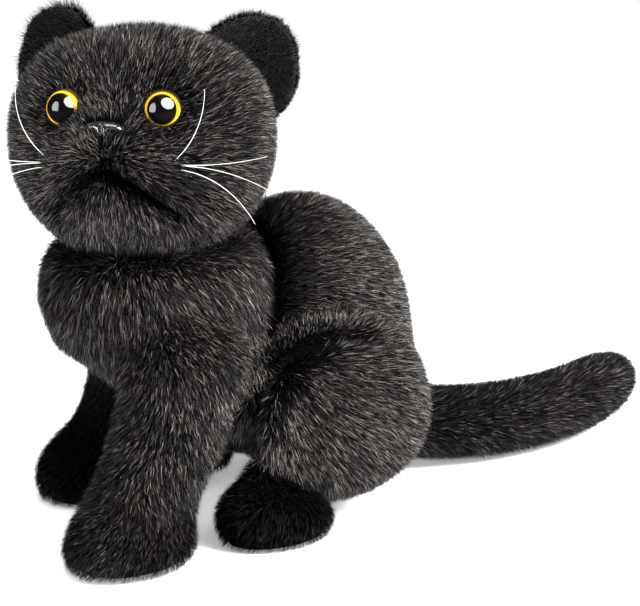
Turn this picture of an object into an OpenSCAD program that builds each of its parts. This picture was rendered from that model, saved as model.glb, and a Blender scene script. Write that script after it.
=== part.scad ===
// Plush cat, sitting, with its head turned towards its left side.
// Long-pile fur cloth over fibre filling, safety eyes and nose, bristle whiskers.
// The cat faces -Y, its left side is +X, up is +Z, and it rests on z = 0.

/* [Cloth] */
// thickness of the fur cloth with the dense foot of its pile
cloth = 3; // [2:0.1:4]
// gap between two cloth pieces, and between cloth and filling
seam_gap = 0.2; // [0.1:0.05:0.5]
// clearance between limbs that move against the body
joint_gap = 2; // [1.5:0.1:3]

/* [Head] */
// half width of the head across the cheeks
head_half_width = 52; // [48:1:56]
// half depth of the skull without the muzzle
head_half_depth = 45; // [42:1:48]
// half height of the head
head_half_height = 46; // [43:1:49]
// how far the muzzle stands out of the skull
muzzle_rise = 7; // [4:0.5:10]
// how far the head is turned towards the left side of the cat
head_turn = 41.5; // [30:0.5:45]
// how far the face looks up
head_pitch = 13; // [8:0.5:18]

/* [Eyes and nose] */
// diameter of the safety eyes
eye_diameter = 15; // [14:0.5:16]
// angle of each eye away from the middle of the face
eye_spread = 24.5; // [24:0.5:27]
// diameter of the ribbed stems of eyes and nose
stem_diameter = 5; // [4:0.2:5.4]
// width of the nose
nose_width = 14; // [12:0.5:15]

/* [Ears] */
// width of an ear at its base
ear_width = 40; // [34:1:43]
// height of an ear above its base
ear_height = 30.5; // [28:0.5:36]

/* [Whiskers] */
// diameter of a whisker bristle
whisker_diameter = 0.7; // [0.5:0.1:1]

/* [Body] */
// half width of the chest
chest_half_width = 44; // [42:1:48]
// half width of the rump
rump_half_width = 39; // [36:1:39]
// height of the flat neck seam above the ground
neck_height = 121; // [119:0.5:123]

/* [Legs and tail] */
// radius of the upper end of a front leg
shoulder_radius = 22; // [20:0.5:23]
// radius of the tail
tail_radius = 13.5; // [13:0.5:15]
// how far a haunch stands out sideways
haunch_rise = 22; // [18:0.5:24]

/* [Hidden] */
$fn = 48;
inset = cloth + seam_gap;
// the middle of the whole cat, whiskers included, measured from the point between its shoulders
shift = [7.54, 60.66, 0];
head_centre = [0.5, -28.6, 161] - shift;
head_roll = -1.2;
torso_centre = [0, 15, 76] - shift;
shoulder_left = [33, -33, 76] - shift;
shoulder_right = [-30, -13, 76] - shift;
tail_root = [2, 90, 24] - shift;
haunch_left = [40.4, 36, 46] - shift;
haunch_right = [-41, 53, 46] - shift;
foot_left = [46.2, 2.5, 0] - shift;
foot_right = [-51, 20.5, 0] - shift;
fur_black = [0.10, 0.09, 0.10];
velvet_grey = [0.22, 0.21, 0.22];
filling_white = [0.90, 0.89, 0.86];
plastic_black = [0.03, 0.03, 0.03];
iris_gold = [0.85, 0.60, 0.08];
bristle_white = [0.95, 0.95, 0.93];
clear_grey = [0.75, 0.78, 0.80];
washer_white = [0.85, 0.85, 0.82];

// ---- small vector and list helpers ----
function unit(v) = v / norm(v);
function mix(a, b, t) = a * (1 - t) + b * t;
function flat(l) = [for (row = l) for (p = row) p];
function flip_faces(f, flip) = flip ? [for (t = f) [t[2], t[1], t[0]]] : f;
function smooth_max(v, k) = ln([for (x = v) exp(k * x)] * [for (x = v) 1]) / k;

// direction on a globe whose poles point left and right; lon 0 is the front, 90 is up
function globe(lat, lon) = [sin(lat), -cos(lat) * cos(lon), cos(lat) * sin(lon)];

// distance along ray d from c to the far side of an ellipsoid with centre e and radii r
function exit_ellipsoid(c, d, e, r) =
    let (o = [for (k = [0:2]) (c[k] - e[k]) / r[k]],
         w = [for (k = [0:2]) d[k] / r[k]],
         a = w * w, b = o * w, q = b * b - a * (o * o - 1))
    q < 0 ? 1 : max(1, (-b + sqrt(q)) / a);

// distance along ray d from c to the near side of a sphere, or far when it misses
function enter_sphere(c, d, s, r) =
    let (o = c - s, b = o * d, q = b * b - (o * o - r * r))
    (q < 0 || b > 0) ? 1e4 : -b - sqrt(q);

// distance along ray d from c to the plane with normal n at height h along n
function reach_plane(c, d, n, h) = (n * d) > 0.001 ? (h - n * c) / (n * d) : 1e4;

// ---- closed surfaces from grids of points ----
// a patch of cloth between an outer and an inner grid of points
function patch_faces(m, n) =
    let (o = function(i, j) i * n + j, u = function(i, j) m * n + i * n + j)
    concat(
        [for (i = [0:m - 2], j = [0:n - 2]) each [
            [o(i, j), o(i, j + 1), o(i + 1, j + 1)], [o(i, j), o(i + 1, j + 1), o(i + 1, j)],
            [u(i, j), u(i + 1, j + 1), u(i, j + 1)], [u(i, j), u(i + 1, j), u(i + 1, j + 1)]]],
        [for (j = [0:n - 2]) each [
            [o(0, j + 1), o(0, j), u(0, j)], [o(0, j + 1), u(0, j), u(0, j + 1)],
            [o(m - 1, j), o(m - 1, j + 1), u(m - 1, j + 1)], [o(m - 1, j), u(m - 1, j + 1), u(m - 1, j)]]],
        [for (i = [0:m - 2]) each [
            [o(i, 0), o(i + 1, 0), u(i + 1, 0)], [o(i, 0), u(i + 1, 0), u(i, 0)],
            [o(i + 1, n - 1), o(i, n - 1), u(i, n - 1)], [o(i + 1, n - 1), u(i, n - 1), u(i + 1, n - 1)]]]);

module patch(outer, inner, flip = false) {
    polyhedron(points = concat(flat(outer), flat(inner)),
        faces = flip_faces(patch_faces(len(outer), len(outer[0])), flip), convexity = 6);
}

// a bowl of cloth: closed rings that end in a pole, outside and inside
function bowl_faces(m, n) =
    let (o = function(i, j) i * n + j % n, u = function(i, j) m * n + 1 + i * n + j % n,
         po = m * n, pu = 2 * m * n + 1)
    concat(
        [for (i = [0:m - 2], j = [0:n - 1]) each [
            [o(i, j), o(i, j + 1), o(i + 1, j + 1)], [o(i, j), o(i + 1, j + 1), o(i + 1, j)],
            [u(i, j), u(i + 1, j + 1), u(i, j + 1)], [u(i, j), u(i + 1, j), u(i + 1, j + 1)]]],
        [for (j = [0:n - 1]) each [
            [o(m - 1, j), o(m - 1, j + 1), po], [u(m - 1, j), pu, u(m - 1, j + 1)],
            [o(0, j + 1), o(0, j), u(0, j)], [o(0, j + 1), u(0, j), u(0, j + 1)]]]);

module bowl(outer, pole_out, inner, pole_in, flip = false) {
    polyhedron(points = concat(flat(outer), [pole_out], flat(inner), [pole_in]),
        faces = flip_faces(bowl_faces(len(outer), len(outer[0])), flip), convexity = 6);
}

// a full body: closed rings between two end points
function core_faces(m, n) =
    let (o = function(i, j) i * n + j % n)
    concat(
        [for (i = [0:m - 2], j = [0:n - 1]) each [
            [o(i, j), o(i, j + 1), o(i + 1, j + 1)], [o(i, j), o(i + 1, j + 1), o(i + 1, j)]]],
        [for (j = [0:n - 1]) each [
            [o(0, j + 1), o(0, j), m * n], [o(m - 1, j), o(m - 1, j + 1), m * n + 1]]]);

module core(rings, start, end, flip = false) {
    polyhedron(points = concat(flat(rings), [start, end]),
        faces = flip_faces(core_faces(len(rings), len(rings[0])), flip), convexity = 6);
}

// ---- head ----
// turn of the head frame: roll, then pitch, then yaw
function head_matrix() =
    let (y = head_turn, p = -head_pitch, r = head_roll)
    [[cos(y), -sin(y), 0], [sin(y), cos(y), 0], [0, 0, 1]]
    * [[1, 0, 0], [0, cos(p), -sin(p)], [0, sin(p), cos(p)]]
    * [[cos(r), 0, sin(r)], [0, 1, 0], [-sin(r), 0, cos(r)]];

module in_head() {
    translate(head_centre) rotate([0, 0, head_turn]) rotate([-head_pitch, 0, 0])
        rotate([0, head_roll, 0]) children();
}

// a smooth bump of height h around direction a with spread s in degrees
function bump(d, a, h, s) = h * exp(-pow(acos(min(1, max(-1, d * unit(a)))) / s, 2));

// distance of the skull from its centre in local direction d
function skull(d) =
    let (e = 2.25,
         base = pow(pow(abs(d[0]) / head_half_width, e) + pow(abs(d[1]) / head_half_depth, e)
                    + pow(abs(d[2]) / head_half_height, e), -1 / e))
    base
    + bump(d, [0, -1, -0.16], muzzle_rise, 25)
    + bump(d, [0.30, -1, -0.30], 2.5, 16) + bump(d, [-0.30, -1, -0.30], 2.5, 16)
    - bump(d, [0.95, -0.1, -0.6], jowl_trim, 34) - bump(d, [-0.95, -0.1, -0.6], jowl_trim, 34)
    - bump(d, [0.42, -1, 0.22], 2, 14) - bump(d, [-0.42, -1, 0.22], 2, 14);

// point of the head at globe position lat, lon, moved inwards by t
function head_point(lat, lon, t) =
    let (m = head_matrix(), d = globe(lat, lon), w = m * d,
         r = min(skull(d) - t, reach_plane(head_centre, w, [0, 0, -1], -(neck_height + 0.6 + t))))
    head_centre + r * w;

gusset_lat = 13;
jowl_trim = 2.5;
head_steps = 10;
function head_rings(lat0, lat1, steps, lon0, lon1, cols, t) =
    [for (i = [0:steps]) [for (j = [0:cols]) head_point(
        lat0 + (lat1 - lat0) * i / steps, lon0 + (lon1 - lon0) * j / cols, t)]];

module head_side(side) {
    rings = 9;
    spokes = 28;
    g = gusset_lat + 0.25;
    lat = function(i) side * (g + (88 - g) * i / rings);
    outer = [for (i = [0:rings - 1]) [for (j = [0:spokes - 1]) head_point(lat(i), j * 360 / spokes, 0)]];
    inner = [for (i = [0:rings - 1]) [for (j = [0:spokes - 1]) head_point(lat(i), j * 360 / spokes, cloth)]];
    color(fur_black) difference() {
        bowl(outer, head_point(side * 90, 0, 0), inner, head_point(side * 90, 0, cloth), side < 0);
        eye_place(side) translate([0, 0, -20]) cylinder(d = stem_diameter + 0.6, h = 40);
        eye_place(side) translate([0, 0, -0.1]) cylinder(d = eye_diameter + 1, h = 12);
    }
}
module head_left() { head_side(1); }
module head_right() { head_side(-1); }

module head_gusset() {
    color(fur_black) difference() {
        patch(head_rings(-gusset_lat, gusset_lat, 4, -8, 215, 20, 0),
              head_rings(-gusset_lat, gusset_lat, 4, -8, 215, 20, cloth));
        nose_place() translate([0, 0, -20]) cylinder(d = stem_diameter + 0.6, h = 40);
    }
}

module chin_panel() {
    color(fur_black)
        patch(head_rings(-gusset_lat, gusset_lat, 4, 215.5, 351.5, 12, 0),
              head_rings(-gusset_lat, gusset_lat, 4, 215.5, 351.5, 12, cloth));
}

// filling with a hollow behind each eye and behind the nose
function head_core_point(lat, lon) =
    let (m = head_matrix(), d = globe(lat, lon), w = m * d, c = [0, 0, 0],
         hollow = function(a, r) let (q = globe(a[0], a[1]), s = q * (skull(q) - 9)) enter_sphere(c, d, s, r),
         r = min(skull(d) - inset - 1, reach_plane(head_centre, w, [0, 0, -1], -(neck_height + 1.6 + inset)),
                 hollow([eye_spread, eye_lon], 12.5), hollow([-eye_spread, eye_lon], 12.5), hollow([0, 0], 11.5)))
    head_centre + r * w;

module head_filling() {
    rings = 13;
    spokes = 24;
    color(filling_white) core(
        [for (i = [0:rings]) [for (j = [0:spokes - 1])
            head_core_point(-84 + 168 * i / rings, j * 360 / spokes)]],
        head_core_point(-90, 0), head_core_point(90, 0));
}

// ---- eyes ----
eye_lon = 14;
module eye_place(side) {
    q = globe(side * eye_spread, eye_lon);
    aim = globe(side * (eye_spread - 13), eye_lon - 1);
    in_head() translate(q * (skull(q) + 0.4))
        rotate([0, acos(aim[2]), atan2(aim[1], aim[0])]) children();
}
eye_cup = 1.2;
module eye_lens(side) {
    // a clear cap, flat at the back
    cap = eye_diameter * 0.60;
    rise = 5.2;
    ball = (pow(eye_diameter / 2, 2) + rise * rise) / (2 * rise);
    color(clear_grey) eye_place(side) translate([0, 0, eye_cup + 0.9])
        intersection() {
            translate([0, 0, rise - ball]) sphere(r = ball);
            cylinder(d = cap * 2, h = rise + 1);
        }
}
module eye_iris(side) {
    color(iris_gold) eye_place(side) translate([0, 0, eye_cup + 0.45]) difference() {
        cylinder(d = eye_diameter - 0.3, h = 0.4);
        translate([0, 0, -1]) cylinder(d = eye_diameter * 0.70 + 0.1, h = 3);
    }
}
module eye_pupil(side) {
    color(plastic_black) eye_place(side) translate([0, 0, eye_cup + 0.45])
        cylinder(d = eye_diameter * 0.70, h = 0.4);
}
module eye_back(side) {
    // cup with its ribbed stem
    color(plastic_black) eye_place(side) {
        cylinder(d = eye_diameter + 0.4, h = eye_cup + 0.4);
        translate([0, 0, -13]) cylinder(d = stem_diameter, h = 13.5);
        for (k = [0:3]) translate([0, 0, -12 + 2 * k])
            cylinder(d1 = stem_diameter, d2 = stem_diameter + 0.5, h = 1);
    }
}
module eye_left_lens() { eye_lens(1); }
module eye_left_iris() { eye_iris(1); }
module eye_left_pupil() { eye_pupil(1); }
module eye_left_back() { eye_back(1); }
module eye_right_lens() { eye_lens(-1); }
module eye_right_iris() { eye_iris(-1); }
module eye_right_pupil() { eye_pupil(-1); }
module eye_right_back() { eye_back(-1); }

module washer() {
    difference() {
        cylinder(d = 14, h = 1.4);
        translate([0, 0, -1]) cylinder(d = stem_diameter + 0.8, h = 4);
    }
}
module eye_washers() {
    color(washer_white) for (side = [-1, 1]) eye_place(side) translate([0, 0, -6.4]) washer();
}

// ---- nose ----
nose_lon = 1;
module nose_place() {
    q = globe(0, nose_lon);
    in_head() translate(q * (skull(q) + 0.6)) rotate([90 - nose_lon, 0, 0]) children();
}
module nose() {
    // low oval button on a stem
    color(plastic_black) nose_place() {
        intersection() {
            scale([nose_width / 2, nose_width * 0.36, 4.6]) sphere(r = 1);
            translate([-20, -20, 0]) cube([40, 40, 10]);
        }
        translate([0, 0, -12]) cylinder(d = stem_diameter, h = 12.4);
    }
}
module nose_washer() {
    color(washer_white) nose_place() translate([0, 0, -8.6]) washer();
}

// ---- whiskers ----
// each bristle: start lat and lon on the muzzle, heading to the side and upwards, bend radius,
// bend angle, and 1 to bend upwards or -1 to bend downwards
bristles = [[26.5, -15, 71, 27, 31, 66, 1], [29, -14.5, 80, -1, 200, 11.5, 1],
            [30, -15, 80, 1, 90, 27, -1], [29, -16.5, 78, -2, 46, 54, -1]];
function aim(side, out, up) = [side * sin(out) * cos(up), -cos(out) * cos(up), sin(up)];
module bristle(side, b) {
    q = globe(side * b[0], b[1]);
    start = q * (skull(q) - cloth + 0.8);
    heading = aim(side, b[2], b[3]);
    turn = b[6] * unit(cross(cross(heading, [0, 0, 1]), heading));
    side_axis = cross(heading, turn);
    hub = start + b[4] * turn;
    in_head() multmatrix([for (k = [0:2]) [-turn[k], heading[k], side_axis[k], hub[k]]])
        rotate_extrude(angle = b[5], $fn = 96) translate([b[4], 0])
            circle(d = whisker_diameter, $fn = 16);
}
module whiskers(side) { color(bristle_white) for (b = bristles) bristle(side, b); }
module whiskers_left() { whiskers(1); }
module whiskers_right() { whiskers(-1); }

// ---- ears ----
// an ear is a cupped leaf: a furred back and a velvet front, both curved around the ear hollow
ear_cup = 9;
module ear_place(side) {
    in_head() translate(side > 0 ? [31.5, 14, 26] : [-34, 14, 28.5]) rotate([0, side * 41, 0])
        rotate([-8, 0, side * 24]) children();
}
function ear_half(v) = ear_width / 2 * pow(1 - pow(v, 2.3), 0.55) * (1 + 0.06 * sin(180 * v));
function ear_point(u, v, t) =
    let (x = u * ear_half(v), z = v * ear_height,
         y = -ear_cup * (1 - pow(2 * x / ear_width, 2)) * (1 - 0.5 * v) + ear_cup)
    [x, -y + t + 0.12 * z, z];
function ear_grid(t) = [for (i = [0:8]) let (v = i == 8 ? 0.985 : i / 8)
    [for (j = [0:12]) ear_point(-1 + j / 6, v, t)]];
// the closed outside of the head, which trims the bases of the ears
module head_block(t) {
    lats = [for (i = [0:8]) gusset_lat + 0.25 + (87.75 - gusset_lat) * i / 9];
    all = concat([for (i = [8:-1:0]) -lats[i]], lats);
    core([for (a = all) [for (j = [0:27]) head_point(a, j * 360 / 28, -t)]],
        head_point(-90, 0, -t), head_point(90, 0, -t));
}
module ear_back(side) {
    color(fur_black) difference() {
        ear_place(side) patch(ear_grid(2.4), ear_grid(0.1));
        head_block(0.2);
    }
}
module ear_front(side) {
    color(velvet_grey) difference() {
        ear_place(side) patch(ear_grid(-0.1), ear_grid(-1.3));
        head_block(0.2);
    }
}
module ear_left_back() { ear_back(1); }
module ear_left_front() { ear_front(1); }
module ear_right_back() { ear_back(-1); }
module ear_right_front() { ear_front(-1); }

// ---- torso ----
// room left in the torso for a shoulder and the upper leg as it swings
module leg_room(shoulder, upper, lower, more) {
    hull() {
        translate(shoulder) sphere(r = shoulder_radius + joint_gap + more);
        translate(upper - shift) sphere(r = shoulder_radius + joint_gap + 3 + more);
        translate(lower - shift) sphere(r = shoulder_radius + joint_gap - 1 + more);
    }
}
module joint_room(more = 0, $fn = 24) {
    leg_room(shoulder_left, [36.5, -43, 48], [38.5, -52, 31], more);
    leg_room(shoulder_right, [-37, -15, 48], [-40, -20, 31], more);
    translate(tail_root) sphere(r = tail_radius + joint_gap + more);
}
belly_height = 7;
// the flat neck seam ends where the back begins to rise
neck_back = 17;
function neck_reach(c, d, h) =
    let (r = reach_plane(c, d, [0, 0, 1], h)) c[1] + shift[1] + r * d[1] < neck_back ? r : 1e4;
function torso_radius(d, t) =
    let (c = torso_centre,
         soft = smooth_max([
             exit_ellipsoid(c, d, [0, -26, 103.5] - shift, [chest_half_width, 43.5, 38]),
             exit_ellipsoid(c, d, [0, 46, 80] - shift, [rump_half_width, 47, 49]),
             exit_ellipsoid(c, d, [0, 53, 55] - shift, [rump_half_width - 2, 43, 46]),
             exit_ellipsoid(c, d, [0, 18, 74] - shift, [rump_half_width, 58, 46])], 0.35))
    min(soft - t, reach_plane(c, d, [0, 0, -1], -belly_height - t), neck_reach(c, d, neck_height - t));
function torso_point(lat, lon, t) = let (d = globe(lat, lon)) torso_centre + torso_radius(d, t) * d;
strip_lat = 14;
function torso_rings(lon0, lon1, cols, t) =
    [for (i = [0:4]) [for (j = [0:cols]) torso_point(
        -strip_lat + 2 * strip_lat * i / 4, lon0 + (lon1 - lon0) * j / cols, t)]];
module torso_side(side) {
    rings = 10;
    spokes = 36;
    g = strip_lat + 0.2;
    lat = function(i) side * (g + (86 - g) * i / (rings - 1));
    color(fur_black) difference() {
        bowl(
            [for (i = [0:rings - 1]) [for (j = [0:spokes - 1]) torso_point(lat(i), j * 360 / spokes, 0)]],
            torso_point(side * 90, 0, 0),
            [for (i = [0:rings - 1]) [for (j = [0:spokes - 1]) torso_point(lat(i), j * 360 / spokes, cloth)]],
            torso_point(side * 90, 0, cloth), side < 0);
        joint_room();
    }
}
module torso_left() { torso_side(1); }
module torso_right() { torso_side(-1); }
module back_strip() {
    color(fur_black) difference() {
        patch(torso_rings(75, 198, 14, 0), torso_rings(75, 198, 14, cloth));
        joint_room();
    }
}
module belly_strip() {
    color(fur_black) difference() {
        patch(torso_rings(198.4, 434.6, 24, 0), torso_rings(198.4, 434.6, 24, cloth));
        joint_room();
    }
}
module torso_filling() {
    rings = 13;
    spokes = 28;
    color(filling_white) difference() {
        core([for (i = [0:rings]) [for (j = [0:spokes - 1])
                torso_point(-85 + 170 * i / rings, j * 360 / spokes, inset + 1.8)]],
            torso_point(-90, 0, inset + 1.8), torso_point(90, 0, inset + 1.8));
        joint_room(0.5);
    }
}

// ---- front legs ----
// levels of a leg: height, middle x and y, half width, reach to the front, reach to the back
sole = 1.4;
function placed(rows) = [for (r = rows) [r[0], r[1] - shift[0], r[2] - shift[1], r[3], r[4], r[5]]];
left_levels = placed([[0, 40, -61.5, 15.5, 20.5, 20], [3, 40, -61.5, 19, 25, 25], [9, 40, -61.5, 20, 26.5, 26],
    [16, 40, -60.5, 19.5, 25, 25], [23, 39.5, -57, 18.5, 22.5, 22], [31, 38.5, -52, 18, 20.5, 20.5],
    [41, 37.4, -46.5, 18.5, 20, 20.5], [52, 36, -41.3, 19.5, 20, 20.5], [63, 34.5, -37, 20.5, 20, 20.5]]);
right_levels = placed([[0, -43, -29, 15, 20, 20], [3, -43, -29, 18.5, 24.5, 24], [9, -43, -29, 19.5, 26, 25],
    [16, -43, -28, 19, 24.5, 24], [23, -42, -24, 18.5, 22, 21], [31, -40, -19, 18, 20, 20],
    [41, -37.5, -15.5, 18.5, 19.5, 20], [52, -35, -13.5, 19, 19.5, 20], [63, -32, -12.5, 20, 20, 20]]);
function leg_rows(levels, shoulder) = concat(levels,
    [for (a = [-8, 12, 30, 48, 64, 78]) let (r = shoulder_radius * cos(a))
        [shoulder[2] + shoulder_radius * sin(a), shoulder[0], shoulder[1], r, r, r]]);
function leg_ring(row, a0, a1, steps, t) = [for (j = [0:steps])
    let (a = a0 + (a1 - a0) * j / steps, f = sin(a) < 0 ? row[4] : row[5])
    [row[1] + (row[3] - t) * cos(a), row[2] + (f - t) * sin(a), row[0]]];
function lifted(row, z) = [max(row[0], z), row[1], row[2], row[3], row[4], row[5]];
module leg_panel(rows, a0, a1) {
    use_rows = [for (k = [0:len(rows) - 1]) k == 0 ? lifted(rows[0], sole + 0.1) : rows[k]];
    color(fur_black) patch([for (r = use_rows) leg_ring(r, a0, a1, 12, 0)],
        [for (r = use_rows) leg_ring(r, a0, a1, 12, min(cloth, r[3] - 1))], true);
}
module leg_sole(row) {
    color(fur_black) linear_extrude(sole) polygon([for (j = [0:35])
        let (a = j * 10, f = sin(a) < 0 ? row[4] : row[5]) [row[1] + row[3] * cos(a), row[2] + f * sin(a)]]);
}
module leg_filling(rows) {
    n = len(rows);
    top = rows[n - 1];
    bottom = lifted(rows[0], sole + 0.2);
    color(filling_white) core(
        concat([[for (j = [0:23]) leg_ring(bottom, 0, 345, 23, inset)[j]]],
            [for (k = [1:n - 2]) leg_ring(rows[k], 0, 345, 23, inset)]),
        [bottom[1], bottom[2], bottom[0]], [top[1], top[2], rows[n - 2][0] + 1], true);
}
module front_left_leg_outer() { leg_panel(leg_rows(left_levels, shoulder_left), -89.6, 89.6); }
module front_left_leg_inner() { leg_panel(leg_rows(left_levels, shoulder_left), 90.4, 269.6); }
module front_left_leg_sole() { leg_sole(left_levels[0]); }
module front_left_leg_filling() { leg_filling(leg_rows(left_levels, shoulder_left)); }
module front_right_leg_outer() { leg_panel(leg_rows(right_levels, shoulder_right), 90.4, 269.6); }
module front_right_leg_inner() { leg_panel(leg_rows(right_levels, shoulder_right), -89.6, 89.6); }
module front_right_leg_sole() { leg_sole(right_levels[0]); }
module front_right_leg_filling() { leg_filling(leg_rows(right_levels, shoulder_right)); }

// ---- hind legs ----
// plane between haunch and foot
seam_normal = unit([0, 0.62, 0.78]);
function seam_height(foot) = seam_normal * (foot + [0, 11, 18]);
function haunch_point(c, side, foot, lat, lon, t) =
    let (d = globe(side * lat, lon), e = 2.2,
         drop = d[2] < 0 && side > 0 ? 34 : 40,
         base = pow(pow(abs(d[0]) / haunch_rise, e) + pow(abs(d[1]) / 42, e) + pow(abs(d[2]) / drop, e), -1 / e),
         r = min(base - t, reach_plane(c, d, [0, 0, -1], -8 - t),
                 reach_plane(c, d, -seam_normal, -seam_height(foot) - seam_gap - t)))
    c + r * d;
module haunch_cover(c, side, foot) {
    rings = 8;
    spokes = 32;
    grid = function(t) [for (i = [0:rings - 1]) [for (j = [0:spokes - 1])
        haunch_point(c, side, foot, i * 85 / (rings - 1), j * 360 / spokes, t)]];
    color(fur_black) bowl(grid(0), haunch_point(c, side, foot, 90, 0, 0),
        grid(cloth), haunch_point(c, side, foot, 90, 0, cloth), side < 0);
}
module haunch_filling(c, side, foot) {
    rings = 7;
    spokes = 24;
    color(filling_white) core(
        [for (i = [0:rings - 1]) [for (j = [0:spokes - 1])
            haunch_point(c, side, foot, i * 82 / (rings - 1), j * 360 / spokes, inset + 0.8)]],
        c, haunch_point(c, side, foot, 90, 0, inset + 0.8), side < 0);
}
function dome(lat, lon) = [cos(lat) * cos(lon), cos(lat) * sin(lon), sin(lat)];
// the left foot is stretched forward, the right one is shorter and tucked in behind the front paw
function foot_reach(foot) = foot == foot_left ? [18, 25, 15] : [17, 18, 15];
function foot_point(foot, lat, lon, t) =
    let (d = dome(lat, lon), c = foot + [0, 0, 10],
         r = min(exit_ellipsoid(c, d, c, foot_reach(foot)) - t,
                 reach_plane(c, d, [0, 0, -1], -(sole + 0.1) - t),
                 reach_plane(c, d, seam_normal, seam_height(foot) - t)))
    c + r * d;
module foot_cover(foot) {
    rings = 8;
    spokes = 26;
    grid = function(t) [for (i = [0:rings - 1]) [for (j = [0:spokes - 1])
        foot_point(foot, -26 + i * 110 / (rings - 1), j * 360 / spokes, t)]];
    color(fur_black) bowl(grid(0), foot_point(foot, 90, 0, 0), grid(cloth), foot_point(foot, 90, 0, cloth),
        true);
}
module foot_filling(foot) {
    rings = 9;
    spokes = 24;
    color(filling_white) core(
        [for (i = [0:rings]) [for (j = [0:spokes - 1])
            foot_point(foot, -80 + i * 160 / rings, j * 360 / spokes, inset + 0.8)]],
        foot_point(foot, -90, 0, inset + 0.8), foot_point(foot, 90, 0, inset + 0.8), true);
}
module foot_sole(foot) {
    color(fur_black) translate([foot[0], foot[1], 0]) linear_extrude(sole)
        polygon([for (j = [0:35]) let (r = foot_reach(foot) - [3.5, 3, 0])
            [r[0] * cos(j * 10), r[1] * sin(j * 10)]]);
}
module hind_left_haunch() { haunch_cover(haunch_left, 1, foot_left); }
module hind_left_filling() { haunch_filling(haunch_left, 1, foot_left); }
module hind_left_foot() { foot_cover(foot_left); }
module hind_left_sole() { foot_sole(foot_left); }
module hind_left_foot_filling() { foot_filling(foot_left); }
module hind_right_haunch() { haunch_cover(haunch_right, -1, foot_right); }
module hind_right_filling() { haunch_filling(haunch_right, -1, foot_right); }
module hind_right_foot() { foot_cover(foot_right); }
module hind_right_sole() { foot_sole(foot_right); }
module hind_right_foot_filling() { foot_filling(foot_right); }

// ---- tail ----
// stations of the tail: middle point and radius
tail_line = [for (p = [[2, 90, 24], [3, 99, 22.6], [6, 110, 20.6], [10, 122, 19.4], [14, 135, 18.8],
    [16.5, 151, 18.5], [17, 168, 18.7], [16, 185, 19.4], [14, 201, 20.8], [11.5, 213, 22.6], [9.8, 221, 24.1],
    [8.6, 227, 25.4], [7.9, 230, 26.2]]) p - shift];
tail_taper = [0.97, 1, 1, 1, 1, 0.99, 0.98, 0.96, 0.93, 0.86, 0.72, 0.5, 0.24];
function tail_dir(k) = unit(tail_line[min(k + 1, len(tail_line) - 1)] - tail_line[max(k - 1, 0)]);
function tail_ring(k, a0, a1, steps, t) =
    let (f = tail_dir(k), s = unit(cross(f, [0, 0, 1])), u = cross(s, f),
         r = max(1, tail_radius * tail_taper[k] - t))
    [for (j = [0:steps]) let (a = a0 + (a1 - a0) * j / steps) tail_line[k] + r * (cos(a) * s + sin(a) * u)];
// rounded start of the tail, inside the free sphere of the torso
function tail_start(a0, a1, steps, t) = [for (b = [75, 55, 35, 15])
    let (f = tail_dir(0), s = unit(cross(f, [0, 0, 1])), u = cross(s, f),
         r = tail_radius * tail_taper[0])
    [for (j = [0:steps]) let (a = a0 + (a1 - a0) * j / steps)
        tail_line[0] - (r - t) * sin(b) * f + max(1, (r * cos(b) - t)) * (cos(a) * s + sin(a) * u)]];
module tail_panel(a0, a1) {
    grid = function(t) concat(tail_start(a0, a1, 12, t),
        [for (k = [0:len(tail_line) - 1]) tail_ring(k, a0, a1, 12, t)]);
    color(fur_black) patch(grid(0), grid(cloth));
}
module tail_upper() { tail_panel(0.6, 179.4); }
module tail_lower() { tail_panel(180.6, 359.4); }
module tail_filling() {
    n = len(tail_line);
    color(filling_white) core(
        concat([for (g = tail_start(0, 345, 23, inset)) g],
            [for (k = [0:n - 2]) tail_ring(k, 0, 345, 23, inset)]),
        tail_line[0] - (tail_radius * 0.97 - inset) * tail_dir(0), tail_line[n - 1]);
}

head_left();
head_right();
head_gusset();
chin_panel();
head_filling();
eye_left_lens();
eye_left_iris();
eye_left_pupil();
eye_left_back();
eye_right_lens();
eye_right_iris();
eye_right_pupil();
eye_right_back();
eye_washers();
nose();
nose_washer();
whiskers_left();
whiskers_right();
ear_left_back();
ear_left_front();
ear_right_back();
ear_right_front();
torso_left();
torso_right();
back_strip();
belly_strip();
torso_filling();
front_left_leg_outer();
front_left_leg_inner();
front_left_leg_sole();
front_left_leg_filling();
front_right_leg_outer();
front_right_leg_inner();
front_right_leg_sole();
front_right_leg_filling();
hind_left_haunch();
hind_left_filling();
hind_left_foot();
hind_left_sole();
hind_left_foot_filling();
hind_right_haunch();
hind_right_filling();
hind_right_foot();
hind_right_sole();
hind_right_foot_filling();
tail_upper();
tail_lower();
tail_filling();
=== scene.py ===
import math

import bpy
import numpy as np
from mathutils import Matrix, Vector
from mathutils.bvhtree import BVHTree
from mathutils.kdtree import KDTree


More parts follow.
